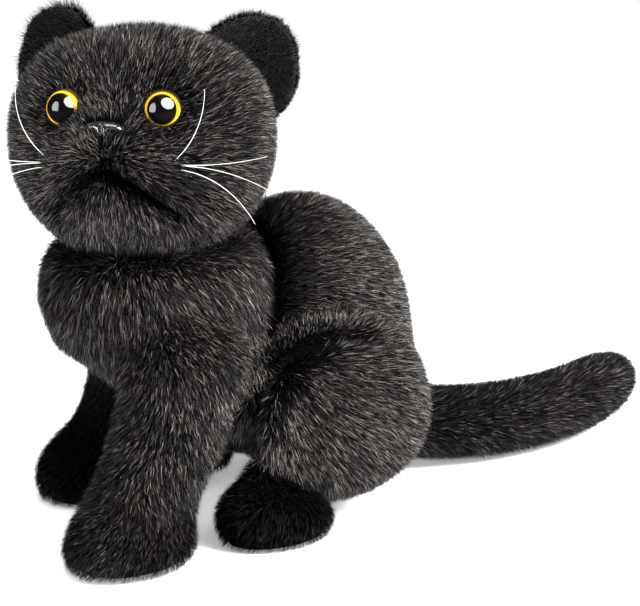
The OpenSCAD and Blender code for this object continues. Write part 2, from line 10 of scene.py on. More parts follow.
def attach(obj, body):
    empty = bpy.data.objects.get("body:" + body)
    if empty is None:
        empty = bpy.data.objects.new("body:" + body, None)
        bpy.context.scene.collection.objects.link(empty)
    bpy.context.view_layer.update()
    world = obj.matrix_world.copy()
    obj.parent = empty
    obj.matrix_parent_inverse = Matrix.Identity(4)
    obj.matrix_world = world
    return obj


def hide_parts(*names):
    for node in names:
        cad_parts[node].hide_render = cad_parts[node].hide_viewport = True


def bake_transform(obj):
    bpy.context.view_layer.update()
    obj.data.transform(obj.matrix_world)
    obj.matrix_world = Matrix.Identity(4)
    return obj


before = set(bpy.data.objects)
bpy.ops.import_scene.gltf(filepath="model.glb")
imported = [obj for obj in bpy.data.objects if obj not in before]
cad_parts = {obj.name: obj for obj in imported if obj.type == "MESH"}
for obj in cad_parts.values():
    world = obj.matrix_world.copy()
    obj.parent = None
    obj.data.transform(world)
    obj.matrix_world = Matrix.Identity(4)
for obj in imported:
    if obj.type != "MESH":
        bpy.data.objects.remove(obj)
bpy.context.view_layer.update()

# A sitting plush cat. Stuffed skins take the place of the sewn panels and carry real strands of pile; the
# eyes, the nose and the whiskers are made one by one. Lengths are metres in the row frame, and angles on the
# head are degrees seen from its middle, unless a comment says otherwise.

scene = bpy.context.scene
rng = np.random.default_rng(11)
MM = 0.001
DENSITY = 5.4  # strands to a square millimetre
WIDTH = 0.00024  # of one strand
EAR_DENSITY = 5.5
EYE_RADIUS = 0.0070
HEAD_FUR_FROM = 0.1222  # height of the neck seam
BARE_BELOW = 0.0026  # no strands where the cat touches the floor
LOWEST = 0.0002  # no strand goes below this
VIEW_RIGHT = np.array([0.574, 0.819, 0.0])  # to the right as seen from the camera


def at(x, y, z):
    """A point given in the pattern's own millimetres, in the row frame's metres."""
    return np.array([x - 7.54, y - 60.66, z]) * MM


def unit(v):
    v = np.asarray(v, float)
    return v / np.maximum(np.linalg.norm(v, axis=-1, keepdims=True), 1e-12)


def step(a, b, x):
    t = np.clip((x - a) / (b - a), 0, 1)
    return t * t * (3 - 2 * t)


def dot(a, b):
    return np.einsum("...i,...i->...", a, b)


def far(points, where):
    return np.linalg.norm(points - where, axis=-1)


def hill(x, width):
    """A smooth bump: 1 where x is 0, almost gone at twice the width."""
    return np.exp(-((x / width) ** 2))


def hill2(x, wide, y, high):
    return np.exp(-((x / wide) ** 2 + (y / high) ** 2))


MIDLINE = at(2, 0, 0)[0]


# ---------------------------------------------------------------- materials


def principled(name, colour, rough, spec=0.5, **more):
    m = bpy.data.materials.new(name)
    m.use_nodes = True
    s = m.node_tree.nodes["Principled BSDF"]
    s.inputs["Base Color"].default_value = (*colour, 1)
    s.inputs["Roughness"].default_value = rough
    s.inputs["Specular IOR Level"].default_value = spec
    for k, v in more.items():
        s.inputs[k.replace("_", " ")].default_value = v
    m.diffuse_color = (*colour, 1)
    return m, s


def mottled(name, dark, light, rough, scale, bump=0.3, distance=0.0004, fine=9, **more):
    """Two tones mixed by noise, with a fine bump."""
    m, s = principled(name, light, rough, **more)
    t = m.node_tree
    co = t.nodes.new("ShaderNodeTexCoord")
    n = t.nodes.new("ShaderNodeTexNoise")
    n.inputs["Scale"].default_value = scale
    n.inputs["Detail"].default_value = 4
    mix = t.nodes.new("ShaderNodeValToRGB")
    mix.color_ramp.elements[0].color = (*dark, 1)
    mix.color_ramp.elements[0].position = 0.32
    mix.color_ramp.elements[1].color = (*light, 1)
    mix.color_ramp.elements[1].position = 0.7
    f = t.nodes.new("ShaderNodeTexNoise")
    f.inputs["Scale"].default_value = scale * fine
    b = t.nodes.new("ShaderNodeBump")
    b.inputs["Strength"].default_value = bump
    b.inputs["Distance"].default_value = distance
    t.links.new(co.outputs["Object"], n.inputs["Vector"])
    t.links.new(co.outputs["Object"], f.inputs["Vector"])
    t.links.new(n.outputs["Fac"], mix.inputs["Fac"])
    t.links.new(mix.outputs["Color"], s.inputs["Base Color"])
    t.links.new(f.outputs["Fac"], b.inputs["Height"])
    t.links.new(b.outputs["Normal"], s.inputs["Normal"])
    return m


skin_mat = mottled("pile_backing", (0.001, 0.001, 0.001), (0.003, 0.0028, 0.0028), 0.95, 900, spec=0.02)
velvet_mat = mottled("ear_velvet", (0.003, 0.0028, 0.0028), (0.008, 0.0075, 0.0073), 0.8, 700, spec=0.15,
                     Sheen_Weight=0.10, Sheen_Roughness=0.4)
plastic_mat = mottled("black_plastic", (0.003, 0.003, 0.003), (0.006, 0.006, 0.006), 0.13, 160, bump=0.02,
                      distance=0.0001, spec=0.6, Coat_Weight=0.6, Coat_Roughness=0.05)
bristle_mat = mottled("nylon_bristle", (0.50, 0.50, 0.49), (0.66, 0.66, 0.64), 0.30, 300, bump=0.05, spec=0.5)
washer_mat = mottled("washer_plastic", (0.70, 0.69, 0.66), (0.80, 0.79, 0.76), 0.45, 200, bump=0.05)
SHADES = [
    principled("fur_root", (0.0012, 0.0010, 0.0010), 0.9, 0.0)[0],
    principled("fur_black", (0.0042, 0.0037, 0.0034), 0.55, 0.08)[0],
    principled("fur_charcoal", (0.0125, 0.0110, 0.0102), 0.50, 0.14)[0],
    principled("fur_grey", (0.041, 0.0365, 0.0340), 0.46, 0.25)[0],
    principled("fur_silver", (0.175, 0.1600, 0.1520), 0.42, 0.4)[0],
]


# ---------------------------------------------------------------- skins


def arrays(me):
    v = np.empty(len(me.vertices) * 3)
    me.vertices.foreach_get("co", v)
    return v.reshape(-1, 3), [tuple(p.vertices) for p in me.polygons]


def welded(name):
    v, f = arrays(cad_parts[name].data)
    key = np.round(v / 2e-6).astype(np.int64)
    _, first, where = np.unique(key, axis=0, return_index=True, return_inverse=True)
    where = where.reshape(-1)
    f = [tuple(dict.fromkeys(int(where[i]) for i in p)) for p in f]
    return v[first], [p for p in f if len(p) > 2]


def mesh_object(name, v, f):
    me = bpy.data.meshes.new(name)
    me.from_pydata([tuple(p) for p in v], [], f)
    me.update()
    o = bpy.data.objects.new(name, me)
    scene.collection.objects.link(o)
    return o


def evaluated(o):
    dg = bpy.context.evaluated_depsgraph_get()
    return bpy.data.meshes.new_from_object(o.evaluated_get(dg))


def set_mesh(o, me):
    o.modifiers.clear()
    o.data = me


def normals_of(me):
    n = np.empty(len(me.vertices) * 3)
    me.vertices.foreach_get("normal", n)
    return n.reshape(-1, 3)


def dome_faces(rings, cols):
    """Faces for one top point, some rings of points, and one bottom point."""
    f = [(0, 1 + j, 1 + (j + 1) % cols) for j in range(cols)]
    for i in range(rings - 1):
        for j in range(cols):
            a, b = 1 + i * cols + j, 1 + i * cols + (j + 1) % cols
            f.append((a, a + cols, b + cols, b))
    e = 1 + rings * cols
    return f + [(e, e - cols + (j + 1) % cols, e - cols + j) for j in range(cols)]


def ball(centre, r, rows=16, cols=24):
    v = [centre + [0, 0, r]]
    for i in range(1, rows):
        a = math.pi * i / rows
        for j in range(cols):
            b = 2 * math.pi * j / cols
            way = [math.sin(a) * math.cos(b), math.sin(a) * math.sin(b), math.cos(a)]
            v.append(centre + r * np.array(way))
    v.append(centre - [0, 0, r])
    return np.array(v), dome_faces(rows - 1, cols)


def shell(name, nodes, grow, voxel, extra=()):
    """One closed skin round several nodes: they are grown to meet, fused and remeshed."""
    vs, fs, k = [], [], 0
    for n in nodes:
        v, f = welded(n)
        o = mesh_object("part_" + n, v, f)
        v = v + normals_of(o.data) * grow
        bpy.data.objects.remove(o)
        vs.append(v)
        fs += [tuple(i + k for i in p) for p in f]
        k += len(v)
    for v, f in extra:
        vs.append(v)
        fs += [tuple(i + k for i in p) for p in f]
        k += len(v)
    o = mesh_object(name, np.vstack(vs), fs)
    r = o.modifiers.new("remesh", "REMESH")
    r.mode = "VOXEL"
    r.voxel_size = voxel
    set_mesh(o, evaluated(o))
    return o


def edges_of(me):
    e = np.empty(len(me.edges) * 2, np.int64)
    me.edges.foreach_get("vertices", e)
    return e.reshape(-1, 2)


def relax(v, e, times, rate=0.5, keep=0.96, mask=None):
    """Pulls each point towards its neighbours' average, then part of the way back, to keep the volume."""
    n = np.maximum(np.bincount(e.ravel(), minlength=len(v)), 1).astype(float)[:, None]
    m = 1.0 if mask is None else mask[:, None]
    for i in range(times * 2):
        s = np.stack([np.bincount(e[:, 0], v[e[:, 1], k], len(v))
                      + np.bincount(e[:, 1], v[e[:, 0], k], len(v)) for k in range(3)], axis=1)
        v = v + m * (rate if i % 2 == 0 else -rate * keep) * (s / n - v)
    return v


def look(o, material):
    """Smooth shading and one material."""
    o.data.polygons.foreach_set("use_smooth", [True] * len(o.data.polygons))
    o.data.materials.clear()
    o.data.materials.append(material)


def put(me, v):
    me.vertices.foreach_set("co", np.ascontiguousarray(v, dtype=np.float32).ravel())
    me.update()


def swell(o, pressure, cap, frames=16):
    """Stuffs the skin: a short cloth run under inner pressure, with a limit on how far a point goes."""
    before, _ = arrays(o.data)
    c = o.modifiers.new("Cloth", "CLOTH")
    s = c.settings
    s.quality = 4
    s.mass = 0.3
    s.tension_stiffness = s.compression_stiffness = 25
    s.shear_stiffness = 8
    s.bending_stiffness = 2.0
    s.use_pressure = True
    s.uniform_pressure_force = pressure
    s.effector_weights.gravity = 0
    c.collision_settings.use_collision = False
    c.point_cache.frame_end = frames
    for f in range(1, frames + 1):
        scene.frame_set(f)
    after, _ = arrays(evaluated(o))
    o.modifiers.clear()
    scene.frame_set(1)
    d = after - before
    size = np.linalg.norm(d, axis=1, keepdims=True)
    return before + d * np.minimum(1, cap / np.maximum(size, 1e-9))


def divide(o, levels=1):
    s = o.modifiers.new("sub", "SUBSURF")
    s.levels = levels
    set_mesh(o, evaluated(o))


def tree(me):
    v, f = arrays(me)
    return BVHTree.FromPolygons([tuple(p) for p in v], f)


def joined(nodes):
    vs, fs, k = [], [], 0
    for q in nodes:
        v, f = welded(q)
        vs.append(v)
        fs += [tuple(i + k for i in x) for x in f]
        k += len(v)
    return BVHTree.FromPolygons([tuple(x) for x in np.vstack(vs)], fs)


def point_tree(points):
    kd = KDTree(len(points))
    for i, q in enumerate(points):
        kd.insert(tuple(q), i)
    kd.balance()
    return kd


def gaps(points, t):
    return np.array([t.find_nearest(tuple(q))[3] for q in points])


NODES = list(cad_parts)
HEAD = [n for n in NODES if n.startswith(("head_", "chin_"))]
LEGS = {
    "front_left_leg": [n for n in NODES if n.startswith("front_left")],
    "front_right_leg": [n for n in NODES if n.startswith("front_right")],
}
TAIL = [n for n in NODES if n.startswith("tail_")]
PANELS = [n for n in NODES if n.startswith(("torso_", "back_", "belly_"))]
HIND = [n for n in NODES if n.startswith("hind_")]
TORSO = PANELS + HIND

# the head: its middle, and the cat's left, forward and upward directions on it
head_c = at(0.5, -28.6, 161)
turn, pitch = math.radians(41.5), math.radians(13)
side = np.array([math.cos(turn), math.sin(turn), 0.0])
face = np.array([math.sin(turn) * math.cos(pitch), -math.cos(turn) * math.cos(pitch), math.sin(pitch)])
crown = np.cross(side, -face)
UP = np.array([0, 0, 1.0])
shoulder = {"front_left_leg": at(33, -33, 76), "front_right_leg": at(-30, -13, 76)}
tail_root = at(2, 90, 24)


def node_centre(n):
    return np.mean(welded(n)[0], axis=0)


nose_c = node_centre("nose")
nose_dir = unit(nose_c - node_centre("nose_washer"))
eyes = {}
for s in ("left", "right"):
    lens, back = node_centre(f"eye_{s}_lens"), node_centre(f"eye_{s}_back")
    eyes[s] = (lens, unit(lens - back))


def angles(p):
    """Directions from the middle of the head, in degrees to the cat's left and upwards."""
    d = unit(p - head_c)
    return np.degrees(np.arctan2(d @ side, d @ face)), np.degrees(np.arcsin(np.clip(d @ crown, -1, 1)))


# the mouth line, as degrees to the side and degrees up
LIP = np.array([[0, -15.5], [4.5, -16.5], [14.5, -22.5], [25.5, -29.5], [37, -36]])


def lip_distance(p):
    """Degrees from the mouth line, and whether a point is above it."""
    a, e = angles(p)
    q = np.stack([np.abs(a), e], axis=1)
    best = np.full(len(q), 1e9)
    for u, w in zip(LIP[:-1], LIP[1:]):
        t = np.clip(((q - u) @ (w - u)) / ((w - u) @ (w - u)), 0, 1)
        best = np.minimum(best, np.linalg.norm(q - (u + t[:, None] * (w - u)), axis=1))
    line = np.interp(np.abs(a), LIP[:, 0], LIP[:, 1])
    return best, e - line, a, e


head = shell("head_skin", HEAD, 0.0005, 0.0034)
v = swell(head, 3.0, 0.0012)
v = relax(v, edges_of(head.data), 3)
put(head.data, v)
divide(head)
v, _ = arrays(head.data)
n = normals_of(head.data)
gap, above, az_, el_ = lip_distance(v)
front = step(70, 45, np.abs(az_))
lift = -0.0048 * hill(gap, 4.5)  # the mouth's fold
for a0 in (-15, 15):
    lift += 0.0030 * hill2(az_ - a0, 13, el_ + 11, 8)  # whisker pads
lift += 0.0022 * hill2(az_, 18, el_ + 32, 11)  # chin
lift -= 0.0016 * hill2(az_, 3.5, el_ + 11, 5)  # cleft under the nose
lift += 0.0026 * hill2(az_, 14, el_ + 2, 8) * step(0.001, 0.007, far(v, nose_c))  # bridge
for s in eyes:
    lift -= 0.0012 * hill(far(v, eyes[s][0]), 0.010)  # eye sockets
slim = 0.0024 * step(35, 65, el_) + 0.0032 * step(70, 105, az_) * step(70, 50, el_)
v = v + n * (lift * front - slim)[:, None]
v = relax(v, edges_of(head.data), 2)
put(head.data, v)

# stuffing where the limbs run into the body: shoulders, root of the tail, ankles, left side of the chest
ANKLES = at(43.5, -1, 24), at(-46, 21, 22)
fillers = [ball(shoulder["front_left_leg"], 0.0246), ball(shoulder["front_right_leg"], 0.0246),
           ball(tail_root, 0.0160), ball(at(2, 104, 22.5), 0.0146),
           ball(ANKLES[0], 0.0090), ball(ANKLES[1], 0.0080), ball(at(30, -32, 90), 0.0186)]
body = shell("body_skin", TORSO + TAIL + sum(LEGS.values(), []), 0.0013, 0.0030, fillers)
v = swell(body, 2.0, 0.0012)
e = edges_of(body.data)
v = relax(v, e, 3)
near_joint = np.zeros(len(v))
for c in shoulder.values():
    above_knee = step(at(0, 0, 40)[2], at(0, 0, 62)[2], v[:, 2])
    near_joint = np.maximum(near_joint, step(0.040, 0.024, far(v, c)) * above_knee)
near_joint = np.maximum(near_joint, step(0.030, 0.018, far(v, tail_root)))
v = relax(v, e, 22, keep=0.90, mask=near_joint)
put(body.data, v)
divide(body)
v, _ = arrays(body.data)
n = normals_of(body.data)


def paw_of(leg):
    """The middle of a leg's sole, on the floor."""
    q = np.vstack([welded(name)[0] for name in LEGS[leg]])
    return np.mean(q[q[:, 2] < 0.012], axis=0) * [1, 1, 0]


local = -0.0040 * hill(far(v, at(22, 67, 107)), 0.024)
local += 0.0018 * hill(far(v, at(-10, -62, 84)), 0.016)
bulge = paw_of("front_right_leg") + np.array([-0.574, -0.819, 0.8]) * 0.015
local += 0.0030 * hill(far(v, bulge), 0.015)
hollow = paw_of("front_left_leg") + np.array([0.574, 0.819, 1.3]) * 0.016
local -= 0.0030 * hill(far(v, hollow), 0.020)
v = v + n * (local - 0.0010)[:, None]
put(body.data, v)
n = normals_of(body.data)
to_panel = gaps(v, joined([q for q in PANELS if "filling" not in q]))
to_haunch = gaps(v, joined([q for q in HIND if "haunch" in q]))
to_foot = gaps(v, joined([q for q in HIND if "foot" in q or "sole" in q]))


def line_gap(points, line):
    best = np.full(len(points), 1.0)
    for u, w in zip(line[:-1], line[1:]):
        t = np.clip(((points - u) @ (w - u)) / ((w - u) @ (w - u)), 0, 1)
        best = np.minimum(best, far(points, u + t[:, None] * (w - u)))
    return best


def mirrored(line, back):
    """A line in pattern millimetres and its mirror image, which lies a little further back."""
    return np.array([at(x, y, z) for x, y, z in line]), np.array([at(-x, y + back, z) for x, y, z in line])


def pair_gap(points, pair):
    return np.minimum(line_gap(points, pair[0]), line_gap(points, pair[1]))


# the folds of the cloth: in front of and above each haunch, the lip beside it, and behind each shoulder
FAR_BACK_MM = 17  # how much further back the far haunch is
FOLD = mirrored([(42, -5, 40), (42, -5, 50), (43, -2, 62), (46, 8, 75), (49, 20, 81), (51, 32, 82),
                 (52, 41, 81)], FAR_BACK_MM)
LIP_EDGE = mirrored([(30, -3, 46), (34, -3, 60), (36, -2, 70), (38, 6, 78), (41, 20, 83), (44, 30, 85)],
                    FAR_BACK_MM)
CREASE = mirrored([(6, 17, 121), (19, 16, 115), (26, 14, 109), (32, 11, 100), (36, 8, 91), (37, 5, 84)], 6)
fold_gap, lip_gap, crease_gap = pair_gap(v, FOLD), pair_gap(v, LIP_EDGE), pair_gap(v, CREASE)
crease = np.maximum(hill(fold_gap, 0.0045), hill(crease_gap, 0.0050))
foot_fold = hill(to_haunch, 0.0035) * hill(to_foot, 0.0035)
v = v - n * (0.0036 * hill(fold_gap, 0.0045) + 0.0042 * hill(crease_gap, 0.0045))[:, None]
v = v + n * (0.0022 * hill(lip_gap, 0.0040) - 0.0030 * foot_fold)[:, None]
v = relax(v, edges_of(body.data), 2)
v[:, 2] = np.maximum(v[:, 2], 0.0004)
put(body.data, v)
skin_points = point_tree(v)
print("SKINS", len(head.data.polygons), len(body.data.polygons))


# ---------------------------------------------------------------- fur


def sample(me, per_mm2, weight):
    """Scatters roots over a mesh: points and normals."""
    me.calc_loop_triangles()
    v, _ = arrays(me)
    n = normals_of(me)
    t = np.empty(len(me.loop_triangles) * 3, np.int32)
    me.loop_triangles.foreach_get("vertices", t)
    t = t.reshape(-1, 3)
    a, b, c = v[t[:, 0]], v[t[:, 1]], v[t[:, 2]]
    area = np.linalg.norm(np.cross(b - a, c - a), axis=1) / 2 * 1e6
    want = area * per_mm2 * weight((a + b + c) / 3)
    k = np.floor(want + rng.random(len(want))).astype(int)
    i = np.repeat(np.arange(len(t)), k)
    u, w = rng.random((2, len(i)))
    flip = u + w > 1
    u[flip], w[flip] = 1 - u[flip], 1 - w[flip]
    q = [(1 - u - w)[:, None], u[:, None], w[:, None]]
    p = sum(q[j] * v[t[i, j]] for j in range(3))
    m = unit(sum(q[j] * n[t[i, j]] for j in range(3)))
    return p, m


def wave(p, scale, seed):
    """Smooth noise in about -1..1 made of a few crossing sine waves, fixed by its seed."""
    r = np.random.default_rng(seed)
    total = np.zeros(len(p))
    for k in range(5):
        d = unit(r.normal(size=3)) * (0.7 + 0.6 * r.random()) * 2 * math.pi / scale
        total += np.sin(p @ d + r.random() * 6.3)
    return total / 2.6


def waves(p, scale, seed):
    return np.stack([wave(p, scale, seed + k) for k in range(3)], axis=1)


def clump(roots, tips, every, pull):
    """Draws each strand's tip towards the tip of the nearest lead strand."""
    n = len(roots)
    if n < 200:
        return tips
    lead = rng.choice(n, n // every, replace=False)
    kd = point_tree(roots[lead])
    near = np.array([kd.find(tuple(r))[1] for r in roots])
    return tips + pull[:, None] * (tips[lead[near]] - tips)


def ribbons(name, p, n, comb, length, root_lift, tip_lift, width, shade, bind, every=15,
            pull=0.24, spread=0.22):
    """Builds strands as bent tapered ribbons: a quad at the root and a triangle to the tip.

    comb is the way they lie, root_lift and tip_lift their angles to the skin in radians, shade an index into
    SHADES, and every and pull say how they clump."""
    count = len(p)
    t = unit(comb - dot(comb, n)[:, None] * n)
    b = np.cross(n, t)
    ang = rng.normal(0, spread, count)
    t = unit(t * np.cos(ang)[:, None] + b * np.sin(ang)[:, None])
    length = length * rng.uniform(0.70, 1.20, count)
    ra = root_lift + rng.normal(0, 0.16, count)
    ta = tip_lift + rng.normal(0, 0.22, count)
    d1 = t * np.cos(ra)[:, None] + n * np.sin(ra)[:, None]
    d2 = t * np.cos(ta)[:, None] + n * np.sin(ta)[:, None]
    base = p - n * 0.0004
    mid = p + d1 * (length * 0.42)[:, None]
    tip = mid + d2 * (length * 0.58)[:, None]
    moved = clump(p, tip, every, pull * rng.uniform(0.3, 1.2, count))
    mid = mid + (moved - tip) * 0.3
    tip = moved
    roll = rng.normal(0, 0.6, count)
    across = unit(np.cross(d1, n))
    other = np.cross(d1, across)
    s = across * np.cos(roll)[:, None] + other * np.sin(roll)[:, None]
    thick = np.where(shade > 2, 1.2, 1.0)
    w = (width * rng.uniform(0.7, 1.25, count) * thick)[:, None] * 0.5
    pts = np.stack([base - s * w, base + s * w, mid + s * w * 0.8, mid - s * w * 0.8, tip], axis=1)
    pts[:, 2:, 2] = np.maximum(pts[:, 2:, 2], LOWEST)
    parts = max(1, math.ceil(count / 60000))
    for k in range(parts):
        sel = np.arange(k, count, parts)
        m = len(sel)
        me = bpy.data.meshes.new(f"{name}_{k}")
        me.vertices.add(m * 5)
        me.vertices.foreach_set("co", pts[sel].astype(np.float32).ravel())
        me.loops.add(m * 7)
        idx = (np.arange(m)[:, None] * 5 + np.array([0, 1, 2, 3, 3, 2, 4])[None]).ravel()
        me.loops.foreach_set("vertex_index", idx.astype(np.int32))
        me.polygons.add(m * 2)
        start = (np.arange(m)[:, None] * 7 + np.array([0, 4])[None]).ravel()
        me.polygons.foreach_set("loop_start", start.astype(np.int32))
        me.polygons.foreach_set("loop_total", np.tile([4, 3], m).astype(np.int32))
        sh = shade[sel]
        both = np.stack([np.maximum(sh - 1, 0), sh], axis=1).ravel()
        for mat in SHADES:
            me.materials.append(mat)
        me.polygons.foreach_set("material_index", both.astype(np.int32))
        me.update(calc_edges=True)
        o = bpy.data.objects.new(f"{name}_{k}", me)
        scene.collection.objects.link(o)
        bind(o)


def shades(p, bias=0.0):
    r = rng.random(len(p)) + 0.03 * wave(p, 0.02, 5) + bias
    return np.digitize(r, [0.30, 0.60, 0.80, 0.940]).astype(int)


def clear_of(p, other, gap):
    return np.array([other.find_nearest(tuple(q), gap)[0] is None for q in p], bool)


head_tree = tree(head.data)

# the head's strands spread from a whorl at the nose and hang down at the back
p, n = sample(head.data, DENSITY, lambda c: (c[:, 2] > HEAD_FUR_FROM).astype(float))
gap, above, az_, el_ = lip_distance(p)
facing = dot(unit(p - head_c), face)
whorl = head_c + 0.050 * (face * math.cos(math.radians(12)) - crown * math.sin(math.radians(12)))
comb = unit(p - whorl) + (-UP) * (0.10 + 0.55 * step(0.6, -0.4, facing))[:, None]
under = step(-2, -10, above) * step(75, 45, np.abs(az_))
comb = (comb * (1 - 0.65 * under)[:, None] + (-UP) * (0.8 * under)[:, None]
        + face * (0.15 * under)[:, None])
pad = step(0, 6, above) * step(30, 12, np.abs(az_)) * step(4, -4, el_)
comb = comb + np.sign(az_)[:, None] * side * (0.9 * pad)[:, None] - UP * (0.25 * pad)[:, None]
d_eye = np.minimum(far(p, eyes["left"][0]), far(p, eyes["right"][0]))
d_nose = far(p, nose_c)
over = np.zeros(len(p))
for s, way in (("left", 1), ("right", -1)):
    q = p - eyes[s][0]
    over = np.maximum(over, step(0.000, 0.004, -way * (q @ side)) * step(0.004, -0.002, q @ crown)
                      * step(0.016, 0.012, far(p, eyes[s][0])))
d_whisker = gaps(p, joined(["whiskers_left", "whiskers_right"]))
length = (0.0061 - 0.0018 * step(0.034, 0.012, d_nose) - 0.0028 * step(0.0050, 0.0015, d_whisker)
          - 0.0026 * step(0.020, 0.009, d_eye) * (1 - over))
length = length - 0.0022 * hill(gap, 3.5) * step(70, 45, np.abs(az_))
for s in eyes:
    away = 1.3 * (1 - over) * step(0.014, 0.008, far(p, eyes[s][0]))
    comb = comb + unit(p - eyes[s][0]) * away[:, None]
off_nose = (((p - nose_c) @ side) / 0.0070) ** 2 + (((p - nose_c) @ crown - 0.0013) / 0.0029) ** 2 > 1
keep = (d_eye > 0.0071) & off_nose
below = step(0.015, 0.009, d_nose) * step(0.5, -1.5, el_)
upwards = crown + 0.25 * face + 0.5 * np.sign(az_ - 1)[:, None] * side
comb = comb * (1 - below)[:, None] + upwards * below[:, None]
length = np.where(below > 0.5, 0.0060, length)
comb = comb + 0.16 * waves(p, 0.02, 21)
tone = 0.07 * hill2(az_, 26, el_ + 9, 8) + 0.08 * hill2(az_, 12, el_ - 17, 9)
tone += 0.06 * hill2(az_, 20, el_ + 33, 9) + 0.16 * hill(far(p, nose_c + crown * 0.007), 0.005)
p, n, comb, length, gap, tone = p[keep], n[keep], comb[keep], length[keep], gap[keep], tone[keep]
sh = shades(p, tone)
# painted shade in the mouth's fold: strands there are darkened, and the nearest made black, most on the cat's
# left side
sh = np.where(1.15 * hill(gap, 3.6) > rng.random(len(p)), np.minimum(sh, 1), sh)
mouth_shade_strength = np.where(az_[keep] > 0, 1.1, 0.45)
sh = np.where(mouth_shade_strength * hill(gap, 2.4) > rng.random(len(p)), 0, sh)
ribbons("head_fur", p, n, comb, length, 1.02, 0.62, np.full(len(p), WIDTH), sh,
        lambda o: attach(o, "head"))
print("HEAD FUR", len(p))

# which part of the body skin each point belongs to, as an index into NAMES
NAMES = ["torso", "front_left_leg", "front_right_leg", "tail", "neck"]
bv, _ = arrays(body.data)
dist = {k: gaps(bv, joined(q)) for k, q in {"torso": TORSO, **LEGS}.items()}
region = np.zeros(len(bv), int)
for i in (1, 2):
    c = shoulder[NAMES[i]]
    reach = np.where(bv[:, 2] > c[2] - 0.012, 0.010, 0.0)
    region[dist[NAMES[i]] < dist["torso"] + reach] = i
region[bv[:, 1] > tail_root[1] - 0.004] = 3
region[(bv[:, 2] > 0.106) & (bv[:, 1] < at(0, 22, 0)[1])] = 4


def bind(k):
    """How a piece of the body is placed: the torso's pieces go with the torso; the others only get their
    transform baked into the mesh.
    """
    def run(o):
        if k == 0:
            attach(o, "torso")
        elif k == 3:
            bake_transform(o)
        elif k == 4:
            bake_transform(o)
        else:
            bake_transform(o)

    return run


def body_weight(c):
    return np.where(c[:, 2] < BARE_BELOW, 0.0, 1 - 0.5 * step(0.010, 0.003, c[:, 2]))


p, n = sample(body.data, DENSITY, body_weight)
keep = clear_of(p, head_tree, 0.0014)
p, n = p[keep], n[keep]
where = np.array([skin_points.find(tuple(q))[1] for q in p])
lab, cr, on_haunch = region[where], crease[where], (to_haunch < to_panel)[where]

# row runs backwards along the body and starts at the front of the haunch, on either side
on_far = (p[:, 0] < MIDLINE).astype(float)
aside = np.abs(p[:, 0] - MIDLINE)
row = p[:, 1] - (at(0, 0, 0)[1] + FAR_BACK_MM * MM * on_far)
height = p[:, 2]
behind = row - (0.0055 + 0.325 * (height - 0.084))  # behind the shoulder's crease
w_flank = step(-0.004, 0.006, behind) * step(0.060, 0.084, height)
w_back = np.maximum(w_flank, step(0.010, 0.045, row))
comb = (np.array([0.04, -0.10, -1.0]) * (1 - w_back)[:, None]
        + np.array([0, 0.90, -0.42]) * w_back[:, None])
to_side = (0.55 * step(-0.015, 0.045, (p - at(0, -50, 90)) @ VIEW_RIGHT) * step(0.060, 0.085, height)
           * (1 - w_back))
comb = comb + to_side[:, None] * VIEW_RIGHT
ray = np.stack([0 * row, row + 0.034, height - 0.112], axis=1)
comb = np.where(on_haunch[:, None], unit(ray), comb)

# round the haunch's middle: turned is 0 at its front and 90 on top; its fold is at beyond = 0
mid_row, mid_height = 0.038, 0.044
turned = np.degrees(np.arctan2(height - mid_height, mid_row - row))
fold_r = np.interp(turned, [-5, 8, 24, 46, 64, 81, 106],
                   [0.0432, 0.0434, 0.0439, 0.0431, 0.0411, 0.0385, 0.0364])
beyond = np.hypot(row - mid_row, height - mid_height) - fold_r
arc = step(-30, -8, turned) * step(112, 84, turned) * (lab == 0) * (aside > 0.024)
# a band just inside the haunch's lip, which gets painted shade below
lip_shade_band = (arc * step(-0.0100, -0.0040, beyond) * step(0.0025, 0.0, beyond) * step(95, 50, turned)
          * step(-8, 14, turned))
# painted light: a band at the front of the haunch, which faces away from the lamps, gets lighter strands
# below and is spared most of the painted shade in the fold
rim = (lab == 0) * step(0.012, 0.000, row) * step(0.014, 0.024, height) * step(0.080, 0.060, height)
rim = rim * step(58, 34, turned) * (aside > 0.020)
# the lip round the haunch: its strands stand up, are shorter, and get painted light (lighter strands) below
lip_w = arc * step(0.0, 0.0025, beyond) * step(0.0115, 0.0070, beyond)
out = unit(np.stack([0 * row, row - mid_row, height - mid_height], axis=1))
comb = unit(comb) * (1 - lip_w)[:, None] + (out + np.array([0, 0.20, 0])) * (1.3 * lip_w)[:, None]
w_tail = step(at(0, 82, 0)[1], at(0, 100, 0)[1], p[:, 1])
comb = comb * (1 - w_tail)[:, None] + np.array([0.0, 1.0, -0.10]) * w_tail[:, None]
low = step(0.030, 0.012, height) * (1 - w_tail)
comb = comb + np.array([0, -0.9, -0.1]) * low[:, None]
comb = comb + 0.13 * waves(p, 0.025, 31) * (1 - lip_w)[:, None]
length = 0.0064 - 0.0012 * step(0.030, 0.010, height) * (1 - w_tail) - 0.0036 * step(0.15, 0.7, cr)
length = length - 0.0022 * lip_w
length = length - 0.0003 * w_tail

# tones: bands along the tail; painted shade in the folds, on the feet and far leg and near the floor; painted
# light on the lip round the haunch and on a rim at its front
bands = np.sin((p[:, 1] - 0.35 * p[:, 2]) * 2 * math.pi / 0.0042) * w_tail
# painted shade behind the shoulder's crease
dark = -0.12 * step(0.026, 0.002, pair_gap(p, CREASE)) * (behind > 0)
# the hind feet: their strands are made much darker below, partly for their own darker pile and partly as
# painted shade under the haunches
is_foot = (to_foot < to_haunch)[where] & (to_foot < to_panel)[where]
for c in ANKLES:
    is_foot |= (far(p, c) < 0.0130) & (height < 0.034)
is_foot &= lab == 0
